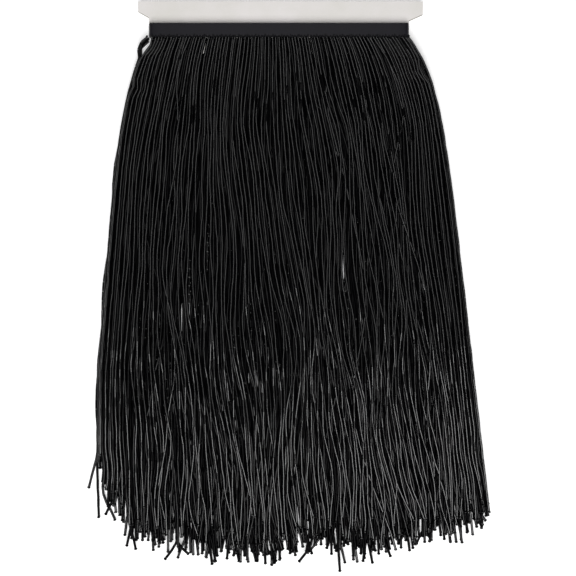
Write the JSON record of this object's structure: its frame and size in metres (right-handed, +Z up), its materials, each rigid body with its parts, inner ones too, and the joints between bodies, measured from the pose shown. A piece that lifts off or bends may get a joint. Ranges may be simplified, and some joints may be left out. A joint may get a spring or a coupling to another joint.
{
  "type": "tassel fringe trim on a winding card",
  "caption": "Long glass-bead tassel fringe on a narrow satin ribbon heading, wound round a notched card and laid flat; trims shades, curtains and costumes.",
  "frame": {"origin": "middle of the base of the whole object's box, on the surface that it lies on", "axes": "+Y from the strands' tips to the card, +Z up from the surface, +X along the ribbon"},
  "size_m": [0.3192, 0.4578, 0.0146],
  "materials": {
    "card": "matt grey paperboard, cut edges darker",
    "ribbon": "black satin ribbon",
    "beads_under": "opaque black glass bugle beads",
    "beads": "opaque black glass bugle beads"
  },
  "bodies": {
    "root": {"winding_card": "card", "ribbon_heading": "ribbon", "under_fringe": "beads_under", "upper_fringe": "beads"}
  },
  "joints": []
}
